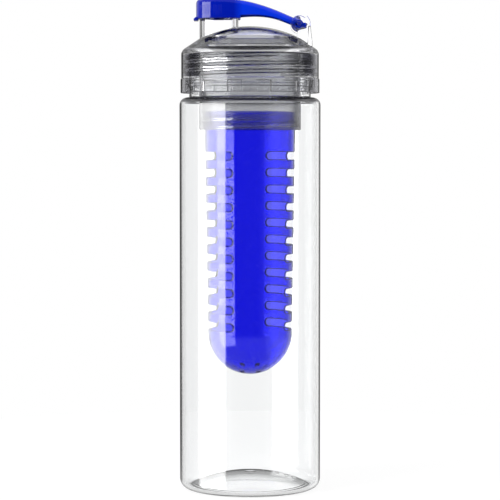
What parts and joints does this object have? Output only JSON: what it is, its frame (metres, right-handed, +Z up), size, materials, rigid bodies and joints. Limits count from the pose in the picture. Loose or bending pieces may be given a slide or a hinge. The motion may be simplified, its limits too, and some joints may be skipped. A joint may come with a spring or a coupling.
{
  "type": "water bottle",
  "caption": "Clear cylindrical sports bottle with a threaded neck, a clear screw lid with a drinking spout under a hinged blue cap, and a blue slotted fruit infuser hung inside.",
  "frame": {"origin": "centre of the ring that the bottle stands on", "axes": "+Z up along the bottle, -X towards the drinking spout, +X towards the cap's hinge"},
  "size_m": [0.07, 0.07, 0.2437],
  "materials": {
    "bottle_clear": "clear moulded plastic, glossy",
    "lid_clear": "clear moulded plastic, glossy, faintly lilac",
    "collar_translucent": "grey translucent plastic, softly frosted",
    "cap_blue": "opaque royal blue plastic, glossy",
    "infuser_blue": "deep blue see-through plastic, glossy",
    "silicone_pale": "pale soft silicone"
  },
  "bodies": {
    "bottle": {"bottle_body": "bottle_clear"},
    "gasket": {"lid_gasket": "silicone_pale"},
    "lid": {"screw_lid": "lid_clear", "infuser_collar": "collar_translucent", "hinge_pin": "cap_blue"},
    "cap": {"flip_cap": "cap_blue", "spout_seal": "silicone_pale"},
    "infuser": {"infuser": "infuser_blue"}
  },
  "joints": [
    {"name": "lid_lift", "type": "slide", "parent": "bottle", "child": "gasket", "axis": [0, 0, 1], "range_m": [0, 0.012]},
    {"name": "lid_turn", "type": "hinge", "parent": "gasket", "child": "lid", "pos_m": [0, 0, 0.218], "axis": [0, 0, 1], "range_deg": [0, 1080]},
    {"name": "cap_flip", "type": "hinge", "parent": "lid", "child": "cap", "pos_m": [0.0242, 0, 0.2308], "axis": [0, 1, 0], "range_deg": [0, 130]},
    {"name": "infuser_drop", "type": "slide", "parent": "lid", "child": "infuser", "axis": [0, 0, -1], "range_m": [0, 0.012]}
  ],
  "couplings": [
    {"joint": "lid_lift", "follows": "lid_turn", "m_per_rad": 0.00063662}
  ]
}
